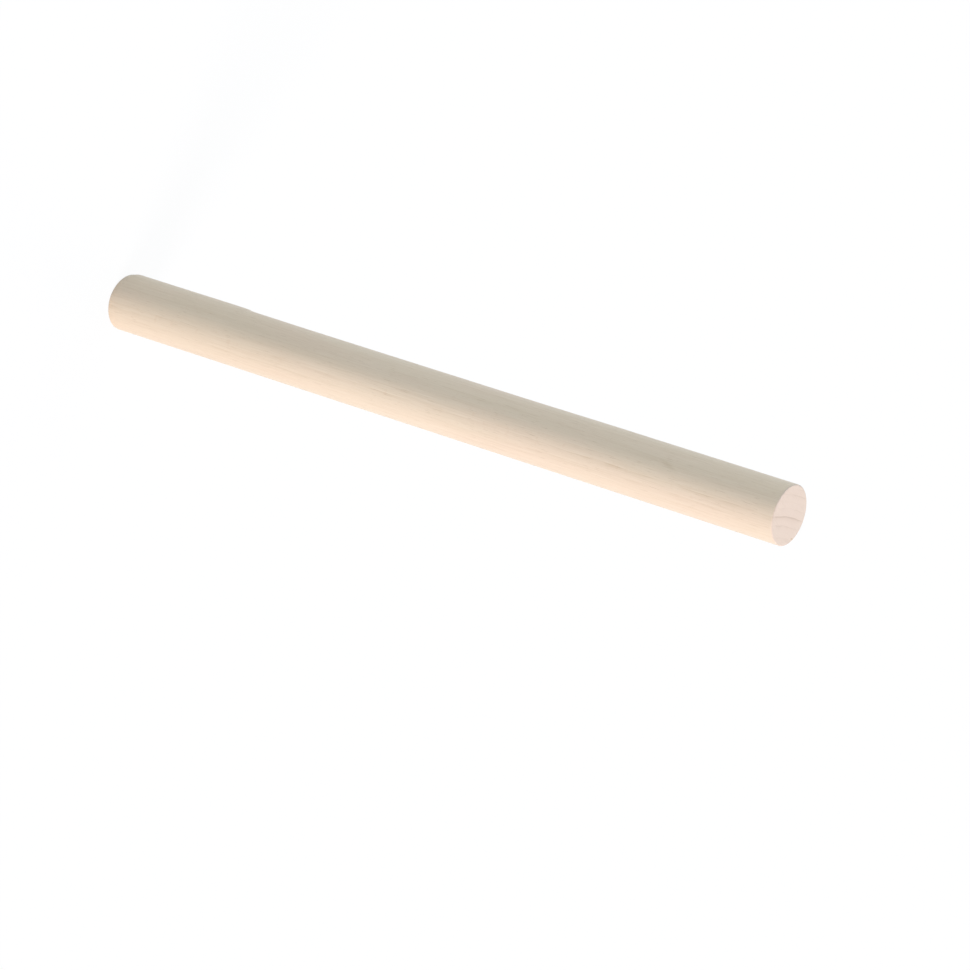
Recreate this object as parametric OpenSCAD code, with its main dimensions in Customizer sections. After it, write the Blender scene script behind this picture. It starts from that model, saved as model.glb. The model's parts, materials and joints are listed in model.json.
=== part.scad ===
// Wooden dowel rod: one straight length of round hardwood, sawn square at both ends.
// It stands on one end. The origin is the centre of that end, and +Z runs along the rod.
// All sizes are in millimetres.

/* [Rod] */
// Diameter of the rod
rod_d = 22; // [6:0.5:50]
// Length of the rod from one sawn end to the other
rod_len = 300; // [50:1:1200]
// Radius of the easing on the edge of each sawn end
edge_r = 0.4; // [0.1:0.05:1.5]

/* [Hidden] */
// Radius of the rod
rod_r = rod_d / 2;
// Radius of the flat left on each sawn end, inside its eased edge
end_flat_r = rod_r - edge_r;
// Length of the full-width shaft between the two eased edges
shaft_len = rod_len - 2 * edge_r;
// Pale bare hardwood
wood_colour = [0.87, 0.79, 0.69];
// Smoothness of the round surfaces
$fn = 96;

// Half section of the rod on the right of its axis: the core that reaches both sawn ends,
// the full-width shaft, and a round at each outer corner.
module rod_half_section() {
    square([end_flat_r, rod_len]);
    translate([0, edge_r]) square([rod_r, shaft_len]);
    for (corner_z = [edge_r, rod_len - edge_r])
        translate([end_flat_r, corner_z]) circle(r = edge_r);
}

// The whole rod, turned from its half section as one solid.
module dowel_rod() {
    color(wood_colour) rotate_extrude() rod_half_section();
}

dowel_rod();
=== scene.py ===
"""A wooden dowel rod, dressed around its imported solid.

The rod stands on one sawn end. Geometry Nodes turn its surface as one mesh, and a solid wood
figure runs through it, so that the growth rings on the sawn ends meet the grain along the side.
Lengths are in metres unless a name says otherwise.
"""

import json
import logging
import math
from dataclasses import dataclass
from enum import Enum
from typing import Any, Union

import bpy
from mathutils import Matrix, Vector


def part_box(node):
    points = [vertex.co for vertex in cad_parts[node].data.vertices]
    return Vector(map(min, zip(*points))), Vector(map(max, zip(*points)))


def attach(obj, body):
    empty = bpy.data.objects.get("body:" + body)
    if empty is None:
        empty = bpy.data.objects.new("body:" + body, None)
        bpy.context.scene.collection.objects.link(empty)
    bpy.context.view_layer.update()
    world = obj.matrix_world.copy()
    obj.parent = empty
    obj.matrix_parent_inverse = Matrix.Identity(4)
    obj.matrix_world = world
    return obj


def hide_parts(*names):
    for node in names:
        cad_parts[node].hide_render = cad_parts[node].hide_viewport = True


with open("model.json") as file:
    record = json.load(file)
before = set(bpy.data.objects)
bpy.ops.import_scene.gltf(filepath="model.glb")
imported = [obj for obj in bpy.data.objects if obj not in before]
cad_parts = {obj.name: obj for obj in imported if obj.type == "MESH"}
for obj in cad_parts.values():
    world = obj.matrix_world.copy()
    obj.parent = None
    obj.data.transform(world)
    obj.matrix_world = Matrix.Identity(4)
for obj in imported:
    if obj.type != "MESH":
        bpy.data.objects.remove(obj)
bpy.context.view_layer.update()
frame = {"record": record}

log = logging.getLogger("dowel_rod")

MM = 0.001

Span = tuple[float, float]
Triple = tuple[float, float, float]
Stops = tuple[Span, ...]
Colour = tuple[float, float, float, float]
WHITE: Colour = (1.0, 1.0, 1.0, 1.0)


def srgb(red: int, green: int, blue: int) -> Colour:
    """Turn a colour as it is seen, 0 to 255, into the linear colour that a socket holds.

    Args:
        red: Red level.
        green: Green level.
        blue: Blue level.

    Returns:
        The linear colour, opaque.
    """

    def linear(level: int) -> float:
        """Undo the display curve of one level."""
        share = level / 255
        return share / 12.92 if share <= 0.04045 else ((share + 0.055) / 1.055) ** 2.4

    return (linear(red), linear(green), linear(blue), 1.0)


class Op(Enum):
    """The sums that a Math node does here."""

    ADD = "ADD"
    SUBTRACT = "SUBTRACT"
    MULTIPLY = "MULTIPLY"
    DIVIDE = "DIVIDE"
    POWER = "POWER"
    ROOT = "SQRT"
    SINE = "SINE"
    COSINE = "COSINE"
    ANGLE = "ARCTAN2"
    FRACTION = "FRACT"
    FLOOR = "FLOOR"
    SIGN = "SIGN"
    LOWER = "MINIMUM"
    HIGHER = "MAXIMUM"
    LESS = "LESS_THAN"


Number = Union["Value", float]


class Value:
    """A number socket of a node graph, on which Python sums add Math nodes."""

    def __init__(self, graph: "Graph", socket: bpy.types.NodeSocket) -> None:
        """Keep the socket and the graph that it belongs to."""
        self.graph = graph
        self.socket = socket

    def __add__(self, other: Number) -> "Value":
        """Add a number."""
        return self.graph.sum(Op.ADD, self, other)

    def __radd__(self, other: Number) -> "Value":
        """Add to a number."""
        return self.graph.sum(Op.ADD, other, self)

    def __sub__(self, other: Number) -> "Value":
        """Take a number away."""
        return self.graph.sum(Op.SUBTRACT, self, other)

    def __rsub__(self, other: Number) -> "Value":
        """Take from a number."""
        return self.graph.sum(Op.SUBTRACT, other, self)

    def __mul__(self, other: Number) -> "Value":
        """Multiply by a number."""
        return self.graph.sum(Op.MULTIPLY, self, other)

    def __rmul__(self, other: Number) -> "Value":
        """Multiply a number."""
        return self.graph.sum(Op.MULTIPLY, other, self)

    def __truediv__(self, other: Number) -> "Value":
        """Divide by a number."""
        return self.graph.sum(Op.DIVIDE, self, other)

    def __rtruediv__(self, other: Number) -> "Value":
        """Divide a number."""
        return self.graph.sum(Op.DIVIDE, other, self)

    def __pow__(self, other: Number) -> "Value":
        """Raise to a power."""
        return self.graph.sum(Op.POWER, self, other)

    def __rpow__(self, other: Number) -> "Value":
        """Raise a number to this power."""
        return self.graph.sum(Op.POWER, other, self)


class Graph:
    """A node tree in the making: it adds nodes, sets them and links them."""

    def __init__(self, tree: bpy.types.NodeTree) -> None:
        """Take over a tree and clear it of any nodes that it starts with."""
        self.tree = tree
        tree.nodes.clear()

    def node(
        self,
        kind: str,
        settings: dict[str, Any] | None = None,
        inputs: dict[Any, Any] | None = None,
    ) -> bpy.types.Node:
        """Add one node.

        Args:
            kind: The node's type.
            settings: Its own settings, set first. A ramp's "stops" are places and grey levels.
            inputs: For each socket, by name or number, a value or what to link.

        Returns:
            The new node.
        """
        made = self.tree.nodes.new(kind)
        for name, setting in (settings or {}).items():
            if name == "stops":
                self._set_stops(made.color_ramp, setting)
            else:
                setattr(made, name, setting)
        for name, given in (inputs or {}).items():
            self._feed(self._socket(made.inputs, name), given)
        return made

    def out(self, made: bpy.types.Node, name: Any = 0) -> Value:
        """Give one of a node's results, by its name or its number."""
        return Value(self, self._socket(made.outputs, name))

    def sum(self, op: Op, *terms: Number) -> Value:
        """Add a Math node on one, two or three terms."""
        return self.out(self.node("ShaderNodeMath", {"operation": op.value}, dict(enumerate(terms))))

    def ramp(
        self,
        value: Number,
        start: Number,
        end: Number,
        low: Number = 0.0,
        high: Number = 1.0,
        smooth: bool = True,
    ) -> Value:
        """Carry a value from one range to another, held at both ends.

        Args:
            value: The value to carry over.
            start: Where the range begins.
            end: Where the range ends.
            low: What the beginning becomes.
            high: What the end becomes.
            smooth: Whether it eases in and out.

        Returns:
            The value in its new range.
        """
        settings = {"interpolation_type": "SMOOTHSTEP" if smooth else "LINEAR", "clamp": True}
        places = {"Value": value, "From Min": start, "From Max": end, "To Min": low, "To Max": high}
        return self.out(self.node("ShaderNodeMapRange", settings, places), "Result")

    def profile(self, value: Number, stops: Stops) -> Value:
        """Read a number off a line drawn through stops, each a place and a level from 0 to 1."""
        drawn = self.node("ShaderNodeValToRGB", {"stops": stops}, {"Fac": value})
        return self.out(self.node("ShaderNodeRGBToBW", None, {"Color": self.out(drawn)}))

    def vector(self, x: Number, y: Number, z: Number) -> Value:
        """Join three numbers into a vector."""
        return self.out(self.node("ShaderNodeCombineXYZ", None, {"X": x, "Y": y, "Z": z}))

    def split(self, vector: Value) -> tuple[Value, Value, Value]:
        """Give the three numbers of a vector."""
        parts = self.node("ShaderNodeSeparateXYZ", None, {0: vector})
        return self.out(parts, "X"), self.out(parts, "Y"), self.out(parts, "Z")

    def tint(self, factor: Number, under: Any, over: Any) -> Value:
        """Mix one colour over another.

        Args:
            factor: How much of the upper colour shows.
            under: The colour below.
            over: The colour above.

        Returns:
            The mixed colour.
        """
        settings = {"data_type": "RGBA", "clamp_factor": True}
        mixed = self.node("ShaderNodeMix", settings, {"Factor": factor, "A": under, "B": over})
        return self.out(mixed, "Result")

    def _socket(self, sockets: Any, name: Any) -> bpy.types.NodeSocket:
        """Find a socket that is in use.

        Args:
            sockets: A node's inputs or outputs.
            name: The socket's name or number.

        Returns:
            The socket.
        """
        if isinstance(name, int):
            return sockets[name]
        return next(s for s in sockets if s.name == name and s.enabled)

    def _feed(self, socket: bpy.types.NodeSocket, given: Any) -> None:
        """Link a result to a socket, or set the socket's own value.

        Args:
            socket: The socket to feed.
            given: A result to link, or a value to set.
        """
        if isinstance(given, Value):
            self.tree.links.new(given.socket, socket)
        else:
            socket.default_value = given

    def _set_stops(self, ramp: bpy.types.ColorRamp, stops: Stops) -> None:
        """Give a colour ramp its stops.

        Args:
            ramp: The ramp of a new node.
            stops: Places along it from 0 to 1, each with a grey level.
        """
        while len(ramp.elements) < len(stops):
            ramp.elements.new(1.0)
        for element, (place, level) in zip(ramp.elements, stops):
            element.position = place
            element.color = (level, level, level, 1.0)


@dataclass(frozen=True)
class Grain:
    """Cloudy noise of one grain size, and the marks that stand out of it."""

    # Size of a grain along X, Y and Z
    size: Triple
    seed: float
    detail: float = 1.0
    rough: float = 0.5
    # Levels of the noise at which a mark begins and is full, and what is left between marks
    rise: Span = (0.0, 1.0)
    low: float = 0.0

    def draw(self, graph: Graph, place: Value, seed: Number = 0.0) -> Value:
        """Draw the noise.

        Args:
            graph: The graph to draw in.
            place: The point to draw it at.
            seed: A seed to add to the grain's own.

        Returns:
            Its level, from about 0 to 1.
        """
        spot = graph.node("ShaderNodeVectorMath", {"operation": "DIVIDE"}, {0: place, 1: self.size})
        inputs = {
            "Vector": graph.out(spot),
            "W": seed + self.seed,
            "Scale": 1.0,
            "Detail": self.detail,
            "Roughness": self.rough,
        }
        return graph.out(graph.node("ShaderNodeTexNoise", {"noise_dimensions": "4D"}, inputs), "Fac")

    def sway(self, graph: Graph, place: Value, seed: Number = 0.0) -> Value:
        """Draw the noise about zero, from about -1 to 1."""
        return (self.draw(graph, place, seed) - 0.5) * 2

    def marks(self, graph: Graph, place: Value, seed: Number = 0.0) -> Value:
        """Draw the marks, each 1 where it is full."""
        return graph.ramp(self.draw(graph, place, seed), *self.rise, self.low)


@dataclass(frozen=True)
class TreePlace:
    """Where a point lies in the tree that the rod was cut from."""

    # How far out from the pith, how far round the tree, and the number of the growth ring
    out: Value
    around: Value
    ring: Value


@dataclass(frozen=True)
class GrowthRings:
    """Where the tree's pith ran, how far apart its rings are and how dark each one ends."""

    # The pith's place in the plane of the top end
    pith_x: float = 66.0 * MM
    pith_y: float = 4.5 * MM
    # How far the pith drifts across for each unit of height
    drift_x: float = -0.003
    drift_y: float = 0.002
    # Rings for each millimetre out from the rod's axis, how that tightens, and the ring at the axis
    rings_per_mm: float = 0.33
    tightening: float = 0.008
    axis_ring: float = -0.23
    # How far the rings wander, along X and along Y, and how far they ripple
    wander: float = 0.6 * MM
    wander_x: Grain = Grain((30.0 * MM, 30.0 * MM, 130.0 * MM), seed=10.0)
    wander_y: Grain = Grain((30.0 * MM, 30.0 * MM, 130.0 * MM), seed=11.0)
    ripple: float = 0.4 * MM
    ripples: Grain = Grain((4.0 * MM, 4.0 * MM, 11.0 * MM), seed=17.0, detail=0.0)
    # How dark the wood is over one year, through its summer, and in the thin line that ends it
    summer: Stops = ((0.0, 0.05), (0.12, 0.06), (0.45, 0.2), (0.57, 0.5))
    winter: Stops = ((0.62, 1.0), (0.665, 0.7), (0.72, 0.05), (1.0, 0.05))
    # How pale it is over the same year, most of all after the line
    spring: Stops = ((0.0, 0.0), (0.66, 0.0), (0.72, 1.0), (0.8, 0.8), (0.95, 0.0))
    # How clearly the line shows that ends each year, from the innermost year in the rod outwards
    innermost_year: int = -3
    year_marks: tuple[float, ...] = (0.2, 0.5, 1.0, 0.32, 0.12, 0.5, 0.2, 0.4, 0.5, 0.4)
    # Where all the lines fade
    fading: Grain = Grain((8.0 * MM, 8.0 * MM, 50.0 * MM), seed=38956.0, rise=(0.38, 0.58), low=0.25)

    def place(self, graph: Graph, point: Value, length: float) -> TreePlace:
        """Find where a point lies in the tree.

        Args:
            graph: The material's graph.
            point: The point on the rod.
            length: The rod's length.

        Returns:
            The point's place.
        """
        x, y, z = graph.split(point)
        sway_x = self.wander_x.sway(graph, point) * self.wander
        sway_x = sway_x + self.ripples.sway(graph, point) * self.ripple
        sway_y = self.wander_y.sway(graph, point) * self.wander
        from_x = x - self.pith_x - (z - length) * self.drift_x + sway_x
        from_y = y - self.pith_y - (z - length) * self.drift_y + sway_y
        out = graph.sum(Op.ROOT, from_x * from_x + from_y * from_y)
        out_mm = (out - self.pith_x) / MM
        return TreePlace(
            out=out,
            around=graph.sum(Op.ANGLE, from_y, from_x * -1.0) * self.pith_x,
            ring=out_mm * (out_mm * self.tightening + self.rings_per_mm) + self.axis_ring,
        )

    def lines(self, graph: Graph, point: Value, ring: Value) -> tuple[Value, Value]:
        """Draw each year, from the summer of one to the summer of the next.

        Args:
            graph: The material's graph.
            point: The point on the rod.
            ring: The ring's number there, with the year in its whole part.

        Returns:
            The dark late wood with the thin line that ends it, and the pale wood that follows.
        """
        years = len(self.year_marks)
        marks = tuple(((index + 0.5) / years, mark) for index, mark in enumerate(self.year_marks))
        year = graph.sum(Op.FLOOR, ring) - self.innermost_year
        strength = graph.profile((year + 0.5) / years, marks) * self.fading.marks(graph, point)
        within = graph.sum(Op.FRACTION, ring)
        dark = graph.profile(within, self.summer + self.winter)
        pale = graph.profile(within, self.spring)
        return dark * strength, pale * strength


@dataclass(frozen=True)
class Dent:
    """A small dent, deepest and darkest in its middle."""

    place: Triple
    # Half its size along X, Y and Z, and how far it leans along X for each unit of height
    reach: Triple
    lean: float
    # How deep it is, and how strongly it is darkened
    depth: float
    dark: float
    # Share of its size over which its bottom is flat
    flat: float = 0.1

    def weight(self, graph: Graph, point: Value) -> Value:
        """Tell how far inside the dent a point is.

        Args:
            graph: The graph to work it out in.
            point: The point on the rod.

        Returns:
            A number from 0 at the dent's rim to 1 in its middle.
        """
        x, y, z = graph.split(point)
        up = z - self.place[2]
        from_x = (x - self.place[0] - up * self.lean) / self.reach[0]
        from_y = (y - self.place[1]) / self.reach[1]
        from_z = up / self.reach[2]
        spread = graph.sum(Op.ROOT, from_x * from_x + from_y * from_y + from_z * from_z)
        return graph.ramp(spread, self.flat, 1.0, 1.0, 0.0)


@dataclass(frozen=True)
class Figure:
    """The wood's figure at a point, each part of it a number from about 0 to 1."""

    # Dark late wood, the pale wood that follows it, and where they show through along the side
    ring: Value
    spring: Value
    unbroken: Value
    # Fine fibres, wider strands of them, and slow drifts of colour
    fibre: Value
    strand: Value
    drift: Value
    # Open ends of vessels, and rays that run out from the pith
    pores: Value
    flecks: Value
    # Where the surface is sawn and not planed, and the marks that each tool left
    sawn: Value
    scratch: Value
    knife: Value
    # Where the wood is darkened: painted shade near the base, and the dents
    darkening: Value


@dataclass(frozen=True)
class Cover:
    """How strongly one part of the figure covers the wood with a colour."""

    share: float
    # Levels of that part at which the colour begins and is full, where they are not 0 and 1
    rise: Span | None = None

    def lay(self, graph: Graph, part: Value, under: Any, colour: Colour) -> Value:
        """Lay the colour over what is there already.

        Args:
            graph: The material's graph.
            part: The part of the figure.
            under: The colour so far.
            colour: The colour to lay over it.

        Returns:
            The covered colour.
        """
        shown = graph.ramp(part, *self.rise) if self.rise else part
        return graph.tint(shown * self.share, under, colour)


@dataclass(frozen=True)
class Relief:
    """Relief that is too fine to model, and what each part of the figure adds to its height."""

    depth: float = 0.06 * MM
    strength: float = 0.35
    # All over
    fibre: float = 0.5
    # On the planed side
    strand: float = 0.4
    pore: float = -0.5
    knife: float = 0.12
    ring: float = -0.8
    # On the sawn ends
    scratch: float = -0.8
    end_ring: float = -0.3

    def normal(self, graph: Graph, figure: Figure) -> Value:
        """Raise the fibres, and sink the pores, the ring lines and the saw's scratches.

        Args:
            graph: The material's graph.
            figure: The wood's figure.

        Returns:
            The surface's normal.
        """
        planed = figure.strand * self.strand + figure.pores * self.pore + figure.knife * self.knife
        planed = planed + figure.ring * figure.unbroken * self.ring
        sawn = figure.scratch * self.scratch + figure.ring * self.end_ring
        height = figure.fibre * self.fibre + planed * (1 - figure.sawn) + sawn * figure.sawn
        bump = {"Strength": self.strength, "Distance": self.depth, "Height": height}
        return graph.out(graph.node("ShaderNodeBump", None, bump))


@dataclass(frozen=True)
class BareWood:
    """Pale bare hardwood: planed along the side, sawn across the ends."""

    name: str = "bare_hardwood"
    rings: GrowthRings = GrowthRings()
    relief: Relief = Relief()
    # Colours as they are seen
    early_wood: Colour = srgb(228, 209, 188)
    late_wood: Colour = srgb(203, 178, 150)
    fibre: Colour = srgb(210, 187, 162)
    pale_fibre: Colour = srgb(236, 220, 202)
    pore: Colour = srgb(176, 148, 120)
    fleck: Colour = srgb(214, 184, 157)
    rosy: Colour = srgb(231, 205, 187)
    end_wood: Colour = srgb(225, 203, 190)
    end_line: Colour = srgb(198, 173, 157)
    # Gloss of the planed side and of the sawn ends, and the soft fuzz of loose fibres
    planed_roughness: float = 0.56
    sawn_roughness: float = 0.78
    specular: float = 0.35
    sheen: float = 0.24
    sheen_roughness: float = 0.45
    # How much rougher raised fibres are than pressed ones, and how much glossier ring lines are
    fibre_roughness: float = 0.16
    ring_gloss: float = 0.05
    # Fine fibres, wider strands of them, and slow drifts of colour
    fibre_grain: Grain = Grain((0.22 * MM, 0.22 * MM, 16.0 * MM), seed=7.0, detail=3.0, rough=0.6)
    strand_grain: Grain = Grain((1.1 * MM, 1.1 * MM, 60.0 * MM), seed=8.0, detail=2.0)
    drift_grain: Grain = Grain((14.0 * MM, 14.0 * MM, 70.0 * MM), seed=9.0, detail=2.0)
    # Where the ring lines break up along the side
    break_grain: Grain = Grain((1.3 * MM, 1.3 * MM, 9.0 * MM), seed=3100.0, rise=(0.44, 0.58), low=0.1)
    # Open ends of vessels
    pore_grain: Grain = Grain((0.16 * MM, 0.16 * MM, 5.0 * MM), seed=12.0, rise=(0.64, 0.76))
    # Rays, with their sizes out from the pith, round the tree and up it
    fleck_grain: Grain = Grain((7.0 * MM, 0.2 * MM, 2.2 * MM), seed=13.0, rise=(0.6, 0.76))
    # Scratches on the ends, with their sizes across and along the way that the saw ran
    scratch_grain: Grain = Grain((0.3 * MM, 16.0 * MM, 1.0), seed=15.0, detail=2.0, rise=(0.5, 0.75))
    saw_way: Span = (0.94, 0.34)
    # How far apart the planer's knife left its marks
    knife_step: float = 1.3 * MM
    # Shares of the eased edge between which sawn wood turns into planed wood
    sawn_until: Span = (0.2, 0.9)
    # Painted shade: how much darker the wood is made near the base, and the heights between which that
    # clears
    darkening: float = 0.1
    base_shade_until: Span = (60.0 * MM, 140.0 * MM)
    # How strongly the ring lines show along the side, and how strongly where they are broken up
    ring_share: float = 0.55
    broken_share: float = 0.12
    # How strongly the other parts of the figure colour the planed side
    drift_cover: Cover = Cover(0.35, (0.42, 0.68))
    spring_cover: Cover = Cover(0.4)
    strand_cover: Cover = Cover(0.22, (0.5, 0.72))
    fibre_cover: Cover = Cover(0.45, (0.5, 0.75))
    pale_fibre_cover: Cover = Cover(0.45, (0.5, 0.28))
    fleck_cover: Cover = Cover(0.2)
    pore_cover: Cover = Cover(0.5)
    # How strongly they colour the sawn ends
    end_fibre_cover: Cover = Cover(0.3, (0.52, 0.75))
    end_fleck_cover: Cover = Cover(0.22)
    scratch_cover: Cover = Cover(0.15)

    def material(self, length: float, edge: float, dents: tuple[Dent, ...]) -> bpy.types.Material:
        """Make the wood as one solid figure for a rod that stands on the origin.

        Args:
            length: The rod's length.
            edge: The radius of the easing on its ends.
            dents: The dents, which are darkened.

        Returns:
            The finished material.
        """
        made = bpy.data.materials.new(self.name)
        made.use_nodes = True
        graph = Graph(made.node_tree)
        figure = self._figure(graph, length, edge, dents)
        wood = graph.tint(figure.sawn, self._side(graph, figure), self._end(graph, figure))
        surface = {
            # Painted shade near the base, and the dents, pull the colour towards late wood
            "Base Color": graph.tint(figure.darkening, wood, self.late_wood),
            "Roughness": self._roughness(figure),
            "Normal": self.relief.normal(graph, figure),
            "Specular IOR Level": self.specular,
            "Sheen Weight": self.sheen,
            "Sheen Roughness": self.sheen_roughness,
        }
        shader = graph.node("ShaderNodeBsdfPrincipled", None, surface)
        graph.node("ShaderNodeOutputMaterial", None, {"Surface": graph.out(shader)})
        return made

    def _figure(self, graph: Graph, length: float, edge: float, dents: tuple[Dent, ...]) -> Figure:
        """Draw the wood's figure through the rod.

        Args:
            graph: The material's graph.
            length: The rod's length.
            edge: The radius of the easing on its ends.
            dents: The dents, which are darkened.

        Returns:
            The figure.
        """
        point = graph.out(graph.node("ShaderNodeTexCoord"), "Object")
        x, y, z = graph.split(point)
        tree = self.rings.place(graph, point, length)
        dark, pale = self.rings.lines(graph, point, tree.ring)
        in_tree = graph.vector(tree.out, tree.around, z)
        way_x, way_y = self.saw_way
        on_saw = graph.vector(x * way_x - y * way_y, x * way_y + y * way_x, 0.0)
        strand = self.strand_grain.draw(graph, point)
        to_end = graph.sum(Op.LOWER, z, length - z)
        # Painted shade: the wood is made darker towards the base, and the dents are darkened as well
        darkening = graph.ramp(z, *self.base_shade_until, self.darkening, 0.0)
        for dent in dents:
            darkening = darkening + dent.weight(graph, point) * dent.dark
        return Figure(
            ring=dark,
            spring=pale,
            unbroken=self.break_grain.marks(graph, point),
            fibre=self.fibre_grain.draw(graph, point),
            strand=strand,
            drift=self.drift_grain.draw(graph, point),
            pores=self.pore_grain.marks(graph, point),
            flecks=self.fleck_grain.marks(graph, in_tree),
            sawn=graph.ramp(to_end / edge, *self.sawn_until, 1.0, 0.0),
            scratch=self.scratch_grain.marks(graph, on_saw),
            knife=graph.sum(Op.SINE, z * (2 * math.pi / self.knife_step)) * strand,
            darkening=darkening,
        )

    def _side(self, graph: Graph, figure: Figure) -> Value:
        """Colour the planed side.

        Args:
            graph: The material's graph.
            figure: The wood's figure.

        Returns:
            The side's colour.
        """
        shown = figure.unbroken * self.ring_share + self.broken_share
        side = self.drift_cover.lay(graph, figure.drift, self.early_wood, self.rosy)
        side = graph.tint(figure.ring * shown, side, self.late_wood)
        side = self.spring_cover.lay(graph, figure.spring * figure.unbroken, side, self.pale_fibre)
        side = self.strand_cover.lay(graph, figure.strand, side, self.fibre)
        side = self.fibre_cover.lay(graph, figure.fibre, side, self.fibre)
        side = self.pale_fibre_cover.lay(graph, figure.fibre, side, self.pale_fibre)
        side = self.fleck_cover.lay(graph, figure.flecks, side, self.fleck)
        return self.pore_cover.lay(graph, figure.pores, side, self.pore)

    def _end(self, graph: Graph, figure: Figure) -> Value:
        """Colour the sawn ends.

        Args:
            graph: The material's graph.
            figure: The wood's figure.

        Returns:
            The ends' colour.
        """
        end = graph.tint(figure.ring, self.end_wood, self.end_line)
        end = self.end_fibre_cover.lay(graph, figure.fibre, end, self.end_line)
        end = self.end_fleck_cover.lay(graph, figure.flecks, end, self.pale_fibre)
        return self.scratch_cover.lay(graph, figure.scratch, end, self.end_line)

    def _roughness(self, figure: Figure) -> Value:
        """Make pressed fibres and ring lines a little glossier, and the sawn ends matt.

        Args:
            figure: The wood's figure.

        Returns:
            The roughness.
        """
        planed = self.planed_roughness + (figure.fibre - 0.5) * self.fibre_roughness
        sawn = figure.sawn * (self.sawn_roughness - self.planed_roughness)
        return planed - figure.ring * self.ring_gloss + sawn


@dataclass(frozen=True)
class Station:
    """Where a point of the flat grid goes on the true round rod."""

    # Columns from the seam, and rows from the nearer end's centre
    column: Value
    from_pole: Value
    # -1 on the base's half of the rod and 1 on the top's half
    half: Value
    # Angle round the axis, distance out from it, and distance in from the nearer end
    angle: Value
    out: Value
    inward: Value
    # Length of skin from the flat of the end, over the eased edge and up the side
    skin: Value


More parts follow.
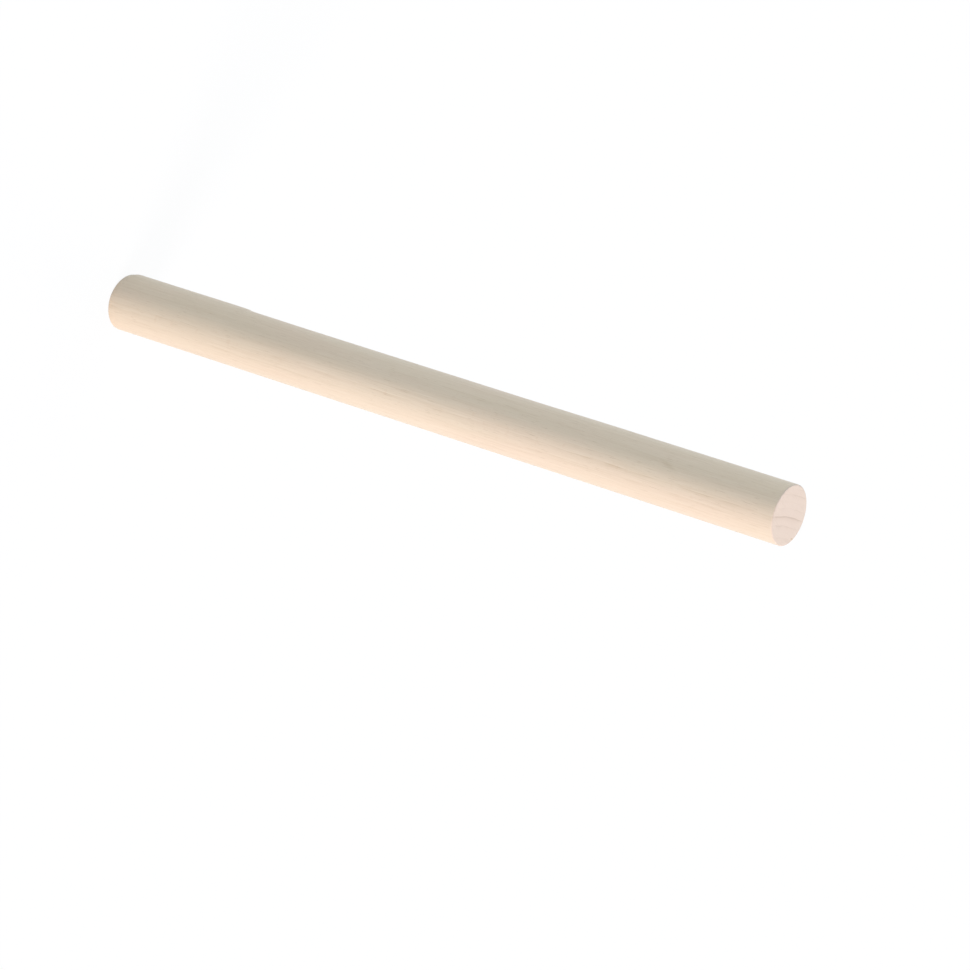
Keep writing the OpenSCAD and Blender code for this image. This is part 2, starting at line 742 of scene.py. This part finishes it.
@dataclass(frozen=True)
class DowelRod:
    """The rod itself: one round length of wood, sawn square at both ends."""

    radius: float
    length: float
    edge: float
    wood: BareWood
    name: str = "dowel_rod_wood"
    # Facets round the rod, and rows of them over half its surface
    segments: int = 192
    end_rows: int = 16
    edge_rows: int = 6
    shaft_rows: int = 110
    # How the rows crowd together towards the rim, on the ends and along the side
    end_crowding: float = 1.3
    shaft_crowding: float = 1.4
    # Distance within which points are joined, along the seam and in the middle of the ends
    weld: float = 0.002 * MM
    # Share of the radius from which a point begins to belong to the side and not to an end
    side_from: float = 0.9
    # Proud stretch that the planer left near the base, on the -X side
    proud: float = 0.33 * MM
    proud_until: float = 56.5 * MM
    proud_blend: float = 3.6 * MM
    # Shallow hollow along the middle of the same side
    hollow: float = 0.17 * MM
    hollow_from: float = 40.0 * MM
    hollow_until: float = 232.0 * MM
    hollow_blend: float = 50.0 * MM
    # How far the rim of the base is rubbed away on the same side, and the share of that off its face
    rub: float = 0.55 * MM
    rub_reach: float = 3.0 * MM
    rub_end_share: float = 0.4
    # Waves and ridges along the side
    waviness: float = 0.05 * MM
    waves: Grain = Grain((20.0 * MM, 20.0 * MM, 90.0 * MM), seed=0.0)
    ridge: float = 0.025 * MM
    ridges: Grain = Grain((1.2 * MM, 1.2 * MM, 70.0 * MM), seed=1.0)
    # Chips in the rims, and the distances from a rim between which they die out
    chip: float = 0.3 * MM
    chips: Grain = Grain((1.6 * MM, 1.6 * MM, 6.0 * MM), seed=2.0, rise=(0.6, 0.82))
    chip_reach: Span = (0.2 * MM, 1.5 * MM)
    # Saw marks on the ends
    saw_mark: float = 0.04 * MM
    saw_marks: Grain = Grain((1.8 * MM, 1.8 * MM, 9.0 * MM), seed=3.0, rise=(0.3, 0.75))
    # A slanting bruise on the side, and a nick in the top end near its rim
    dents: tuple[Dent, ...] = (
        Dent(
            place=(-3.6 * MM, -10.4 * MM, 254.5 * MM),
            reach=(1.2 * MM, 3.0 * MM, 5.5 * MM),
            lean=0.31,
            depth=0.06 * MM,
            dark=0.3,
        ),
        Dent(
            place=(7.5 * MM, 6.8 * MM, 300.0 * MM),
            reach=(0.5 * MM, 1.2 * MM, 1.0 * MM),
            lean=0.0,
            depth=0.05 * MM,
            dark=1.0,
        ),
    )
    # Added to the seeds of the waves, the ridges, the chips and the saw marks
    seed: float = 3.0

    @classmethod
    def from_frame(cls, wood: BareWood) -> "DowelRod":
        """Read the rod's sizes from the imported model.

        Args:
            wood: What the rod is made of.

        Returns:
            The rod, ready to build.
        """
        low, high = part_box("dowel_rod")
        shaft = next(m for m in frame["record"]["mounts"] if m["name"] == "shaft")
        length = high[2] - low[2]
        edge = (length - shaft["dims"]["length_mm"] * MM) / 2
        return cls(radius=shaft["dims"]["r_mm"] * MM, length=length, edge=edge, wood=wood)

    def build(self) -> bpy.types.Object:
        """Turn the rod, dress it and put it in the place of its plain solid.

        Returns:
            The finished piece.
        """
        rod = bpy.data.objects.new(self.name, bpy.data.meshes.new(self.name))
        bpy.context.collection.objects.link(rod)
        turning = rod.modifiers.new("Turning", "NODES")
        sizes = self._sizes()
        turning.node_group = self._turning(list(sizes))
        sizes["Wood"] = self.wood.material(self.length, self.edge, self.dents)
        for socket in turning.node_group.interface.items_tree:
            if socket.in_out == "INPUT":
                turning[socket.identifier] = sizes[socket.name]
        turned = rod.evaluated_get(bpy.context.evaluated_depsgraph_get())
        mesh = bpy.data.meshes.new_from_object(turned)
        mesh.name = self.name
        # The flat grid brings an empty slot of its own
        mesh.materials.pop(index=0)
        rod.modifiers.remove(turning)
        rod.data = mesh
        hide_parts("dowel_rod")
        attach(rod, "root")
        return rod

    def _sizes(self) -> dict[str, Any]:
        """Name the sizes that the turning tree takes.

        Returns:
            Each size by the name of its input.
        """
        return {
            "Radius": self.radius,
            "Length": self.length,
            "Edge": self.edge,
            "Proud": self.proud,
            "Hollow": self.hollow,
            "Rub": self.rub,
            "Waviness": self.waviness,
            "Ridge": self.ridge,
            "Saw Mark": self.saw_mark,
            "Chip": self.chip,
            "Seed": self.seed,
        }

    def _turning(self, names: list[str]) -> bpy.types.GeometryNodeTree:
        """Make the tree that turns the rod from a flat grid.

        Args:
            names: The sizes that are its inputs.

        Returns:
            The tree, which takes the wood as one more input.
        """
        tree = bpy.data.node_groups.new("Turning", "GeometryNodeTree")
        graph = Graph(tree)
        for name in names:
            tree.interface.new_socket(name, in_out="INPUT", socket_type="NodeSocketFloat")
        tree.interface.new_socket("Wood", in_out="INPUT", socket_type="NodeSocketMaterial")
        tree.interface.new_socket("Rod", in_out="OUTPUT", socket_type="NodeSocketGeometry")
        given = graph.node("NodeGroupInput")
        size = {name: graph.out(given, name) for name in names}

        half_rows = self.end_rows + self.edge_rows + self.shaft_rows
        grid_sizes = {
            "Size X": float(2 * half_rows),
            "Size Y": float(self.segments),
            "Vertices X": 2 * half_rows + 1,
            "Vertices Y": self.segments + 1,
        }
        grid = graph.node("GeometryNodeMeshGrid", None, grid_sizes)
        station = self._station(graph, size, half_rows)
        mapped = self._bake_map(graph, graph.out(grid, "Mesh"), size, station)
        shape = self._worn(graph, size, station)
        turned = graph.node("GeometryNodeSetPosition", None, {"Geometry": mapped, "Position": shape})
        joined = {"Geometry": graph.out(turned), "Distance": self.weld}
        closed = graph.node("GeometryNodeMergeByDistance", None, joined)
        smooth = graph.node("GeometryNodeSetShadeSmooth", None, {"Geometry": graph.out(closed)})
        real = graph.node("GeometryNodeRealizeInstances", None, {"Geometry": graph.out(smooth)})
        dressed = {"Geometry": graph.out(real), "Material": graph.out(given, "Wood")}
        wooden = graph.node("GeometryNodeSetMaterial", None, dressed)
        graph.node("NodeGroupOutput", None, {"Rod": graph.out(wooden)})
        return tree

    def _station(self, graph: Graph, size: dict[str, Value], half_rows: int) -> Station:
        """Roll the flat grid up: over the flat of an end, round its eased edge and along the side.

        Args:
            graph: The turning tree's graph.
            size: The rod's sizes.
            half_rows: Rows from an end's centre to the middle of the rod.

        Returns:
            Where each point of the grid goes.
        """
        across, around, _ = graph.split(graph.out(graph.node("GeometryNodeInputPosition")))
        row = across + half_rows
        column = around + self.segments / 2
        from_pole = graph.sum(Op.LOWER, row, 2 * half_rows - row)
        shaft_from = self.end_rows + self.edge_rows
        flat_share = graph.ramp(from_pole, 0, self.end_rows, smooth=False)
        flat = (1 - (1 - flat_share) ** self.end_crowding) * (size["Radius"] - size["Edge"])
        turn = graph.ramp(from_pole, self.end_rows, shaft_from, 0, math.pi / 2, smooth=False)
        rise_share = graph.ramp(from_pole, shaft_from, half_rows, smooth=False)
        rise = rise_share**self.shaft_crowding * (size["Length"] / 2 - size["Edge"])
        return Station(
            column=column,
            from_pole=from_pole,
            half=graph.sum(Op.SIGN, across),
            angle=math.pi / 2 - column * (2 * math.pi / self.segments),
            out=flat + graph.sum(Op.SINE, turn) * size["Edge"],
            inward=(1 - graph.sum(Op.COSINE, turn)) * size["Edge"] + rise,
            skin=turn * size["Edge"] + rise,
        )

    def _bake_map(self, graph: Graph, grid: Value, size: dict[str, Value], station: Station) -> Value:
        """Lay the rod's skin out flat: the side as one sheet, with the two ends as discs below it.

        Args:
            graph: The turning tree's graph.
            grid: The flat grid.
            size: The rod's sizes.
            station: Where each point of the grid goes.

        Returns:
            The grid with the map on it.
        """
        margin, disc_middle, disc_size = 0.01, 0.135, 0.115
        sheet_bottom, sheet_top = 0.28, 0.99
        half_sheet = size["Edge"] * (math.pi / 2) + size["Length"] / 2 - size["Edge"]
        along = station.half * (1 - station.skin / half_sheet) * (0.5 - margin) + 0.5
        up = station.column * ((sheet_top - sheet_bottom) / self.segments) + sheet_bottom
        reach = station.out / size["Radius"] * disc_size
        disc_x = graph.sum(Op.COSINE, station.angle) * reach + disc_middle
        disc_x = disc_x * station.half + 2 * disc_middle
        disc_y = graph.sum(Op.SINE, station.angle) * reach + disc_middle
        by_face = {"domain": "FACE", "data_type": "FLOAT"}
        rows = graph.out(graph.node("GeometryNodeFieldOnDomain", by_face, {0: station.from_pole}))
        choice = {
            "Factor": graph.sum(Op.LESS, rows, self.end_rows),
            "A": graph.vector(along, up, 0.0),
            "B": graph.vector(disc_x, disc_y, 0.0),
        }
        laid = graph.node("ShaderNodeMix", {"data_type": "VECTOR"}, choice)
        stored = {"Geometry": grid, "Name": "OFBake", "Value": graph.out(laid, "Result")}
        kind = {"data_type": "FLOAT2", "domain": "CORNER"}
        return graph.out(graph.node("GeometryNodeStoreNamedAttribute", kind, stored))

    def _worn(self, graph: Graph, size: dict[str, Value], station: Station) -> Value:
        """Bring the true round up to the worked surface: planed side, sawn ends and worn rims.

        Args:
            graph: The turning tree's graph.
            size: The rod's sizes.
            station: Where each point of the grid goes.

        Returns:
            The place of each point.
        """
        out, inward = station.out, station.inward
        cosine = graph.sum(Op.COSINE, station.angle)
        sine = graph.sum(Op.SINE, station.angle)
        middle = size["Length"] / 2
        z = station.half * (middle - inward) + middle
        point = graph.vector(out * cosine, out * sine, z)
        seed = size["Seed"]
        on_side = graph.ramp(out / size["Radius"], self.side_from, 1.0)
        worn_side = graph.sum(Op.HIGHER, cosine * -1.0, 0.0)

        blend_from = self.proud_until - self.proud_blend / 2
        proud = graph.ramp(z, blend_from, blend_from + self.proud_blend, 1.0, 0.0) * size["Proud"]
        hollow = graph.ramp(z, self.hollow_from, self.hollow_from + self.hollow_blend) * size["Hollow"]
        hollow = hollow * graph.ramp(z, self.hollow_until - self.hollow_blend, self.hollow_until, 1.0, 0.0)
        swell = (proud - hollow) * worn_side
        swell = swell + self.waves.sway(graph, point, seed) * size["Waviness"]
        swell = swell + self.ridges.sway(graph, point, seed) * size["Ridge"]

        to_side = size["Radius"] - out
        to_rim = graph.sum(Op.ROOT, to_side * to_side + inward * inward)
        bite = self.chips.marks(graph, point, seed) * size["Chip"]
        bite = bite * graph.ramp(to_rim, *self.chip_reach, 1.0, 0.0)
        at_base = graph.sum(Op.LESS, station.half, 0.0)
        rubbed = graph.ramp(to_rim, 0.0, self.rub_reach, 1.0, 0.0) * size["Rub"] * worn_side * at_base

        sunk = self.saw_marks.marks(graph, point, seed) * size["Saw Mark"]
        for dent in self.dents:
            pressed = dent.weight(graph, point) * dent.depth
            swell = swell - pressed
            sunk = sunk + pressed
        worn_out = out + swell * on_side - bite - rubbed
        worn_in = inward + sunk * (1 - on_side) + bite + rubbed * self.rub_end_share
        worn_z = station.half * (middle - worn_in) + middle
        return graph.vector(worn_out * cosine, worn_out * sine, worn_z)


@dataclass(frozen=True)
class PhotoCamera:
    """A camera fitted to where the rod's two ends fall in the photograph's frame, in its pixels."""

    frame_px: float = 970.0
    focal_px: float = 4000.0
    top_end_px: Span = (789.40, 515.41)
    base_end_px: Span = (127.13, 301.84)
    # How far the top end's centre lies in front of the camera
    top_end_depth: float = 1.36323
    sensor_mm: float = 36.0
    # How far the camera sees
    sight: float = 50.0

    def place(self, length: float) -> bpy.types.Object:
        """Put the camera where a standing rod of this length fills the photograph's two places.

        Args:
            length: The rod's length.

        Returns:
            The scene's camera.
        """
        top = self._ray(self.top_end_px) * self.top_end_depth
        ray = self._ray(self.base_end_px)
        half = ray.dot(top) / ray.dot(ray)
        beyond = math.sqrt(half * half - (top.dot(top) - length * length) / ray.dot(ray))
        base = ray * (half + beyond)
        up = (top - base) / length
        away = (top + base).normalized()
        away = (away - up * away.dot(up)).normalized()
        side = away.cross(up)
        rod_seen = Matrix((side, away, up)).transposed().to_4x4()
        rod_seen.translation = base

        lens = bpy.data.cameras.new("photo_camera")
        lens.sensor_width = self.sensor_mm
        lens.lens = self.sensor_mm * self.focal_px / self.frame_px
        lens.clip_end = self.sight
        camera = bpy.data.objects.new("photo_camera", lens)
        bpy.context.collection.objects.link(camera)
        camera.matrix_world = rod_seen.inverted()
        bpy.context.scene.camera = camera
        return camera

    def _ray(self, pixel: Span) -> Vector:
        """Give the way from the camera to a pixel, one unit deep."""
        middle = self.frame_px / 2
        return Vector(((pixel[0] - middle) / self.focal_px, (middle - pixel[1]) / self.focal_px, -1.0))


@dataclass(frozen=True)
class Softlight:
    """A broad, distant lamp."""

    name: str
    # Where it shines from: degrees round from -Y towards +X, and degrees above the table
    bearing: float
    height: float
    # Light on a surface that faces it, where 1 shows a colour as written
    level: float
    spread: float
    colour: Triple

    def hang(self) -> bpy.types.Object:
        """Hang the lamp and turn it to shine on the rod.

        Returns:
            The lamp.
        """
        lamp = bpy.data.lights.new(self.name, "SUN")
        lamp.energy = self.level * math.pi
        lamp.angle = math.radians(self.spread)
        lamp.color = self.colour
        made = bpy.data.objects.new(self.name, lamp)
        bearing, height = math.radians(self.bearing), math.radians(self.height)
        flat = math.cos(height)
        source = Vector((math.sin(bearing) * flat, -math.cos(bearing) * flat, math.sin(height)))
        made.rotation_euler = source.to_track_quat("Z", "Y").to_euler()
        bpy.context.collection.objects.link(made)
        return made


@dataclass(frozen=True)
class Studio:
    """A white table top in soft light, without an edge to be seen."""

    reach: float = 12.0
    # Share of plain white in what the camera sees of the table, the rest keeps its shadows
    white_share: float = 0.94
    # The table as it lights the rod, and as it is seen, where it turns white in the lamps' light
    table_colour: Colour = (0.8, 0.8, 0.8, 1.0)
    seen_colour: Colour = (0.94, 0.92, 0.98, 1.0)
    surround: Colour = (0.79, 0.94, 1.0, 1.0)
    surround_level: float = 0.59
    key_light: Softlight = Softlight(
        "key_light", bearing=74.0, height=30.0, level=0.79, spread=26.0, colour=(1.0, 0.86, 0.80)
    )
    back_light: Softlight = Softlight(
        "back_light", bearing=235.0, height=35.0, level=0.2, spread=60.0, colour=(0.82, 0.95, 1.0)
    )
    rear_light: Softlight = Softlight(
        "rear_light", bearing=174.0, height=22.0, level=0.3, spread=40.0, colour=(1.0, 0.93, 0.87)
    )

    def build(self) -> bpy.types.Object:
        """Lay the table, hang the lamps and light the surround.

        Returns:
            The table top.
        """
        self._surround()
        self.key_light.hang()
        self.back_light.hang()
        self.rear_light.hang()
        mesh = bpy.data.meshes.new("table_top")
        r = self.reach
        mesh.from_pydata([(-r, -r, 0), (r, -r, 0), (r, r, 0), (-r, r, 0)], [], [(0, 1, 2, 3)])
        mesh.materials.append(self._table())
        table = bpy.data.objects.new("table_top", mesh)
        bpy.context.collection.objects.link(table)
        return table

    def _seen(self, graph: Graph) -> Value:
        """Tell what is seen, straight or in a reflection, from what only lights.

        Args:
            graph: The graph of the table or of the surround.

        Returns:
            1 for what is seen, and 0 for what lights.
        """
        path = graph.node("ShaderNodeLightPath")
        seen = graph.out(path, "Is Camera Ray") + graph.out(path, "Is Glossy Ray")
        return graph.sum(Op.LOWER, seen + graph.out(path, "Is Transmission Ray"), 1.0)

    def _table(self) -> bpy.types.Material:
        """Make the table top's white, which lights as a pale matt surface does.

        Returns:
            The finished material.
        """
        made = bpy.data.materials.new("white_table")
        made.use_nodes = True
        graph = Graph(made.node_tree)
        shaded = graph.node("ShaderNodeBsdfDiffuse", None, {"Color": self.seen_colour})
        white = graph.node("ShaderNodeEmission", None, {"Color": WHITE, "Strength": 1.0})
        shares = {0: self.white_share, 1: graph.out(shaded), 2: graph.out(white)}
        seen = graph.node("ShaderNodeMixShader", None, shares)
        lighting = graph.node("ShaderNodeBsdfDiffuse", None, {"Color": self.table_colour})
        parts = {0: self._seen(graph), 1: graph.out(lighting), 2: graph.out(seen)}
        table = graph.node("ShaderNodeMixShader", None, parts)
        graph.node("ShaderNodeOutputMaterial", None, {"Surface": graph.out(table)})
        return made

    def _surround(self) -> None:
        """Fill the room with even light, which shows as white."""
        world = bpy.data.worlds.new("studio")
        world.use_nodes = True
        bpy.context.scene.world = world
        graph = Graph(world.node_tree)
        light = {"Color": self.surround, "Strength": self.surround_level}
        soft = graph.node("ShaderNodeBackground", None, light)
        white = graph.node("ShaderNodeBackground", None, {"Color": WHITE, "Strength": 1.0})
        parts = {0: self._seen(graph), 1: graph.out(soft), 2: graph.out(white)}
        mixed = graph.node("ShaderNodeMixShader", None, parts)
        graph.node("ShaderNodeOutputWorld", None, {"Surface": graph.out(mixed)})


def main() -> None:
    """Build the rod, its table and its camera in order, and report each piece."""
    logging.basicConfig(level=logging.INFO, format="%(name)s: %(message)s")
    bpy.context.scene.view_settings.view_transform = "Standard"
    rod = DowelRod.from_frame(BareWood())
    camera = PhotoCamera().place(rod.length)
    log.info("%s looks from %s", camera.name, tuple(round(v, 3) for v in camera.matrix_world.translation))
    piece = rod.build()
    log.info("%s has %d faces", piece.name, len(piece.data.polygons))
    table = Studio().build()
    log.info("%s is laid", table.name)


if __name__ == "__main__":
    main()
